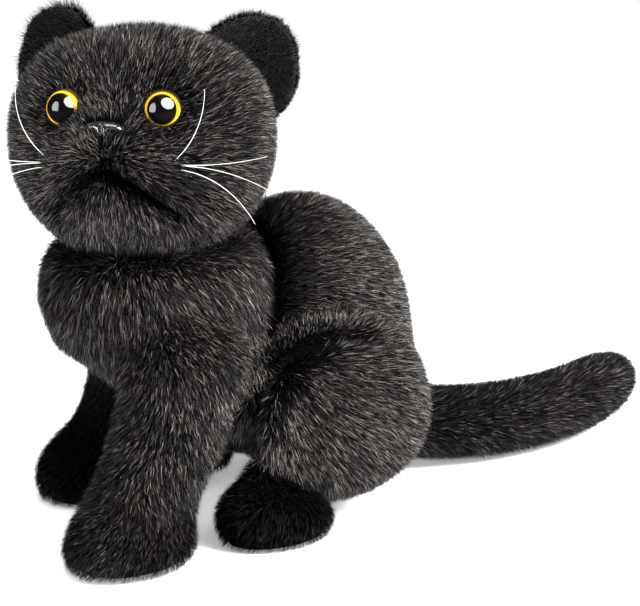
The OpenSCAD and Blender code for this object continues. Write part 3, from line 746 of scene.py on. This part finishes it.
# painted shade: the lower part of the far front leg is made darker
far_leg_shade = (lab == 2) * step(0.070, 0.045, height)
sh = shades(p, dark + 0.10 * lip_w + 0.12 * bands - 0.14 * w_tail - 0.34 * is_foot - 0.24 * far_leg_shade
            + 0.03 * w_back - 0.09 * (lab == 1) * step(0.040, 0.014, height) + 0.22 * rim * ~is_foot)
# painted shade: strands in the folds are darkened, less on the front rim and not on the lip
fold_shaded = cr > 0.25 + 0.4 * rng.random(len(p)) + 0.5 * rim
sh = np.where(fold_shaded & (lip_w < 0.5), np.minimum(sh, 1), sh)
# painted shade in the band inside the haunch's lip
sh = np.where(lip_shade_band > 0.22 + 0.95 * rng.random(len(p)), np.minimum(sh, 1), sh)
# painted shade: strands close to the floor are kept dark
sh = np.where(height < 0.0045, np.minimum(sh, 1), sh)
chest = np.isin(lab, (0, 4)) * (1 - w_back) * step(0.058, 0.075, height) * step(0.118, 0.108, height)
up1, up2 = 1.02 + 0.25 * lip_w - 0.22 * chest, 0.62 + 0.40 * lip_w - 0.20 * chest
length = length + 0.0022 * chest
for k, name in enumerate(NAMES):
    s = lab == k
    if s.any():
        ribbons(name + "_fur", p[s], n[s], comb[s], length[s], up1[s], up2[s],
                np.full(s.sum(), WIDTH * 1.05), sh[s], bind(k))
print("BODY FUR", len(p))

# ---------------------------------------------------------------- skins in pieces


def pieces_of(o, face_label, names):
    """Cuts a mesh into one object for each label."""
    v, f = arrays(o.data)
    out = []
    for k, name in enumerate(names):
        sel = [q for q, lb in zip(f, face_label) if lb == k]
        if not sel:
            continue
        used = sorted({i for q in sel for i in q})
        new = {i: j for j, i in enumerate(used)}
        part = mesh_object(name, v[used], [tuple(new[i] for i in q) for q in sel])
        look(part, skin_mat)
        out.append((k, part))
    return out


first = None
labels = [int(region[x.vertices[0]]) for x in body.data.polygons]
for k, part in pieces_of(body, labels, [q + "_skin" for q in NAMES]):
    bind(k)(part)
    first = first or part
bpy.data.objects.remove(body)

look(head, skin_mat)
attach(head, "head")

# ---------------------------------------------------------------- ears
for s in ("left", "right"):
    backs, fronts = f"ear_{s}_back", f"ear_{s}_front"
    ear = shell(f"ear_{s}_skin", [backs, fronts], 0.00035, 0.0011)
    v, _ = arrays(ear.data)
    v = relax(v, edges_of(ear.data), 4)
    if s == "right":  # its outer edge is wider
        sideways = (v - np.mean(v, axis=0)) @ -VIEW_RIGHT
        v = v - VIEW_RIGHT * (0.0024 * step(-0.002, 0.012, sideways))[:, None]
    put(ear.data, v)
    opens = unit(node_centre(fronts) - node_centre(backs))
    root = head_c + unit(node_centre(backs) - head_c) * 0.046
    p, n = sample(ear.data, EAR_DENSITY, lambda c: np.ones(len(c)))
    ok = clear_of(p, head_tree, 0.0005)
    p, n = p[ok], n[ok]
    facing = dot(n, opens)
    inner, rim = facing > 0.30, np.abs(facing) <= 0.45
    comb = unit(p - root) + 0.25 * waves(p, 0.012, 41)
    outer_pile = 0.0038 if s == "left" else 0.0064
    length = np.where(inner, 0.0016, np.where(rim, 0.0030, outer_pile))
    lift1 = np.where(inner, 0.9, 0.75)
    lift2 = np.where(inner, 0.7, 0.35)
    sh = shades(p, -0.10)
    ribbons(f"ear_{s}_fur", p, n, comb, length, lift1, lift2, np.where(inner, 0.00026, 0.00028), sh,
            lambda o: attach(o, "head"), every=12, pull=0.2)
    look(ear, velvet_mat)
    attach(ear, "head")
    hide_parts(backs, fronts)

# ---------------------------------------------------------------- eyes


def frame_at(centre, axis):
    """A local frame whose Z is the axis and whose Y points up."""
    z = unit(axis)
    x = unit(np.cross(UP, z))
    y = np.cross(z, x)
    return Matrix([[x[i], y[i], z[i], centre[i]] for i in range(3)] + [[0, 0, 0, 1]])


def eye_material(name, aside):
    """A black pupil in a gold ring, painted by the distance from a point aside of and below the axis."""
    m, s = principled(name, (0.01, 0.01, 0.01), 0.35, 0.0,
                      Coat_Weight=0.035, Coat_Roughness=0.02, Coat_IOR=1.5)
    t = m.node_tree
    co = t.nodes.new("ShaderNodeTexCoord")
    mp = t.nodes.new("ShaderNodeMapping")
    mp.inputs["Location"].default_value = (-aside, 0.00125, 0)
    mp.inputs["Scale"].default_value = (1, 1, 0)
    ln = t.nodes.new("ShaderNodeVectorMath")
    ln.operation = "LENGTH"
    sc = t.nodes.new("ShaderNodeMath")
    sc.operation = "MULTIPLY"
    sc.inputs[1].default_value = 1 / EYE_RADIUS
    rp = t.nodes.new("ShaderNodeValToRGB")
    el = rp.color_ramp.elements
    el[0].position, el[0].color = 0.0, (0.0014, 0.0014, 0.0014, 1)
    el[1].position, el[1].color = 0.775, (0.002, 0.0018, 0.0015, 1)
    for pos, col in ((0.80, (0.16, 0.08, 0.004, 1)), (0.84, (0.50, 0.31, 0.008, 1)),
                     (0.93, (0.56, 0.35, 0.009, 1)), (0.97, (0.30, 0.13, 0.005, 1)),
                     (1.0, (0.05, 0.02, 0.003, 1))):
        q = el.new(pos)
        q.color = col
    t.links.new(co.outputs["Object"], mp.inputs["Vector"])
    t.links.new(mp.outputs["Vector"], ln.inputs[0])
    t.links.new(ln.outputs["Value"], sc.inputs[0])
    t.links.new(sc.outputs["Value"], rp.inputs["Fac"])
    t.links.new(rp.outputs["Color"], s.inputs["Base Color"])
    return m


eye_mats = {"left": eye_material("eye_face_left", 0.0002), "right": eye_material("eye_face_right", 0.0008)}


def cap(radius, rise, rows=18, cols=64, skirt=0.0012):
    """A slice of a sphere on a short straight skirt."""
    big = (radius**2 + rise**2) / (2 * rise)
    edge = math.asin(min(1, radius / big)) if rise <= big else math.pi - math.asin(radius / big)
    v = [(0, 0, rise)]
    for i in range(1, rows + 1):
        a = edge * i / rows
        out, up = big * math.sin(a), rise - big + big * math.cos(a)
        for j in range(cols):
            b = 2 * math.pi * j / cols
            v.append((out * math.cos(b), out * math.sin(b), up))
    for j in range(cols):
        b = 2 * math.pi * j / cols
        v.append((radius * math.cos(b), radius * math.sin(b), -skirt))
    v.append((0, 0, -skirt))
    return v, dome_faces(rows + 1, cols)


for s in ("left", "right"):
    lens_v, _ = welded(f"eye_{s}_lens")
    centre, axis = eyes[s]
    along = (lens_v - centre) @ axis
    base = centre + axis * along.min()
    rise = along.max() - along.min()
    v, f = cap(EYE_RADIUS, rise)
    o = mesh_object(f"eye_{s}", v, f)
    look(o, eye_mats[s])
    o.matrix_world = frame_at(base, axis)
    bpy.context.view_layer.update()
    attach(o, "head")
    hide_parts(f"eye_{s}_lens", f"eye_{s}_iris", f"eye_{s}_pupil")

# ---------------------------------------------------------------- nose
nv, _ = welded("nose")
tip_h = ((nv - nose_c) @ nose_dir).max()
face_c = nose_c + nose_dir * (tip_h - 0.0050) + crown * 0.0006
rows, cols = 26, 72
nose_half_w, nose_half_h, nose_rise, nose_skirt = 0.0080, 0.0042, 0.0046, 0.0022


def nose_point(rho, phi):
    """A point of the button: rho from the middle (0) to the rim (1), with two nostrils and a groove."""
    c, s = math.cos(phi), math.sin(phi)
    narrow = 1 - 0.42 * max(0, -s) ** 1.2
    x = nose_half_w * math.copysign(abs(c) ** 0.85, c) * narrow * rho
    y = nose_half_h * math.copysign(abs(s) ** 0.9, s) * rho * (0.85 if s > 0 else 1.05)
    z = nose_rise * max(0.0, 1 - rho**2.4) ** 0.5
    for way in (-1, 1):
        d2 = ((x - way * 0.0038) / 0.0016) ** 2 + ((y + 0.0010) / 0.0012) ** 2
        z -= 0.0016 * math.exp(-d2)
    fade = 1 if y < 0.0005 else math.exp(-(((y - 0.0005) / 0.001) ** 2))
    z -= 0.0008 * math.exp(-((x / 0.0006) ** 2)) * fade
    return (x, y, z)


v = [nose_point(0, 0)]
for i in range(1, rows + 1):
    for j in range(cols):
        v.append(nose_point(i / rows, 2 * math.pi * j / cols))
for j in range(cols):
    q = nose_point(1, 2 * math.pi * j / cols)
    v.append((q[0] * 0.96, q[1] * 0.96, -nose_skirt))
v.append((0, 0, -nose_skirt))
f = dome_faces(rows + 1, cols)
nose = mesh_object("nose_button", v, f)
look(nose, plastic_mat)
nose.matrix_world = frame_at(face_c, nose_dir)
bpy.context.view_layer.update()
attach(nose, "head")
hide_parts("nose")

# ---------------------------------------------------------------- whiskers


def tapered(node):
    """A copy of bent bristles that grow thinner towards their tips, each about its own arc."""
    v, f = welded(node)
    link = list(range(len(v)))

    def top(i):
        while link[i] != i:
            link[i] = link[link[i]]
            i = link[i]
        return i

    for q in f:
        for i in q[1:]:
            link[top(i)] = top(q[0])
    group = np.array([top(i) for i in range(len(v))])
    for g in set(group):
        k = np.where(group == g)[0]
        q = v[k]
        mid = q.mean(axis=0)
        _, _, axes = np.linalg.svd(q - mid, full_matrices=False)
        xy = (q - mid) @ axes[:2].T
        fit = np.linalg.lstsq(np.c_[2 * xy, np.ones(len(xy))], (xy**2).sum(axis=1), rcond=None)[0]
        hub, r = fit[:2], math.sqrt(fit[2] + fit[:2] @ fit[:2])
        d = unit(xy - hub)
        line = mid + (hub + d * r) @ axes[:2]
        first_way = unit(-hub)
        a = np.arctan2(d[:, 0] * first_way[1] - d[:, 1] * first_way[0], d @ first_way)
        t = (a - a.min()) / (a.max() - a.min())
        if far(line[np.argmin(t)], head_c) > far(line[np.argmax(t)], head_c):
            t = 1 - t
        v[k] = line + (q - line) * (0.52 - 0.32 * t)[:, None]
    return v, f


for s in ("left", "right"):
    v, f = tapered(f"whiskers_{s}")
    o = mesh_object(f"bristles_{s}", v, f)
    look(o, bristle_mat)
    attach(o, "head")
    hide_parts(f"whiskers_{s}")

# ---------------------------------------------------------------- what the skins stand for
for q in NODES:
    if q in HEAD:
        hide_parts(q)
    elif q in TORSO + TAIL + sum(LEGS.values(), []):
        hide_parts(q)
for q in NODES:
    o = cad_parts[q]
    m = bristle_mat if "whisker" in q else washer_mat if "washer" in q else plastic_mat
    o.data.materials.clear()
    o.data.materials.append(m)

# ---------------------------------------------------------------- studio
DISTANCE = 0.9  # of the camera
PICTURE_WIDTH = 0.00043 * 640  # of what it sees there
SENSOR_MM = 36
bpy.ops.mesh.primitive_plane_add(size=2.6)
floor = bpy.context.object
floor.name = "floor"
floor.data.materials.append(principled("floor", (0.90, 0.90, 0.90), 0.8, 0.1, Emission_Color=(1, 1, 1, 1),
                                       Emission_Strength=0.38)[0])

# a soft grey-white sky for light, and plain white where the camera sees it
world = bpy.data.worlds.new("studio")
scene.world = world
world.use_nodes = True
nodes, links = world.node_tree.nodes, world.node_tree.links
sky, seen = nodes["Background"], nodes.new("ShaderNodeBackground")
kind, either = nodes.new("ShaderNodeLightPath"), nodes.new("ShaderNodeMixShader")
sky.inputs["Color"].default_value = (1, 1, 1, 1)
sky.inputs["Strength"].default_value = 0.30
seen.inputs["Color"].default_value = (1, 1, 1, 1)
links.new(kind.outputs["Is Camera Ray"], either.inputs["Fac"])
links.new(sky.outputs["Background"], either.inputs[1])
links.new(seen.outputs["Background"], either.inputs[2])
links.new(either.outputs["Shader"], nodes["World Output"].inputs["Surface"])

target = Vector((0.0007, -0.0093, 0.0847))
az, el = math.radians(55), math.radians(14)
back = Vector((math.sin(az) * math.cos(el), -math.cos(az) * math.cos(el), math.sin(el)))
right = Vector((math.cos(az), math.sin(az), 0))
upv = back.cross(right)
cam = bpy.data.objects.new("camera", bpy.data.cameras.new("camera"))
scene.collection.objects.link(cam)
cam.matrix_world = Matrix((right, upv, back)).transposed().to_4x4()
cam.location = target + back * DISTANCE
cam.data.sensor_fit = "HORIZONTAL"
cam.data.sensor_width = SENSOR_MM
cam.data.lens = DISTANCE / PICTURE_WIDTH * SENSOR_MM
cam.data.clip_start = 0.01
scene.camera = cam


def softbox(name, where, size, energy, aim, shape="RECTANGLE"):
    d = bpy.data.lights.new(name, "AREA")
    d.shape = shape
    d.size, d.size_y = size
    d.energy = energy
    o = bpy.data.objects.new(name, d)
    scene.collection.objects.link(o)
    o.location = where
    o.rotation_euler = (Vector(aim) - Vector(where)).to_track_quat("-Z", "Y").to_euler()
    return o


def spot(a, e, r):
    """A place given by azimuth and elevation in degrees and distance."""
    a, e = math.radians(a), math.radians(e)
    return (math.sin(a) * math.cos(e) * r, -math.cos(a) * math.cos(e) * r, math.sin(e) * r)


softbox("key", spot(118, 42, 1.2), (0.60, 0.55), 60, target)
softbox("fill", spot(0, 14, 1.2), (0.40, 0.50), 12, target)
softbox("top", spot(60, 78, 1.5), (1.0, 1.0), 22, target)
# two large round boxes that only the glossy eyes mirror, as catch lights
glossy = bpy.data.collections.new("glossy")
for o in (bpy.data.objects["eye_left"], bpy.data.objects["eye_right"]):
    glossy.objects.link(o)
for o in (softbox("catch_key", spot(99, 49, 1.25), (1.75, 1.60), 4500, target, "ELLIPSE"),
          softbox("catch_fill", spot(-4, 15, 1.25), (0.90, 1.35), 900, target, "ELLIPSE")):
    o.visible_diffuse = False
    o.light_linking.receiver_collection = glossy

scene.view_settings.view_transform = "Standard"
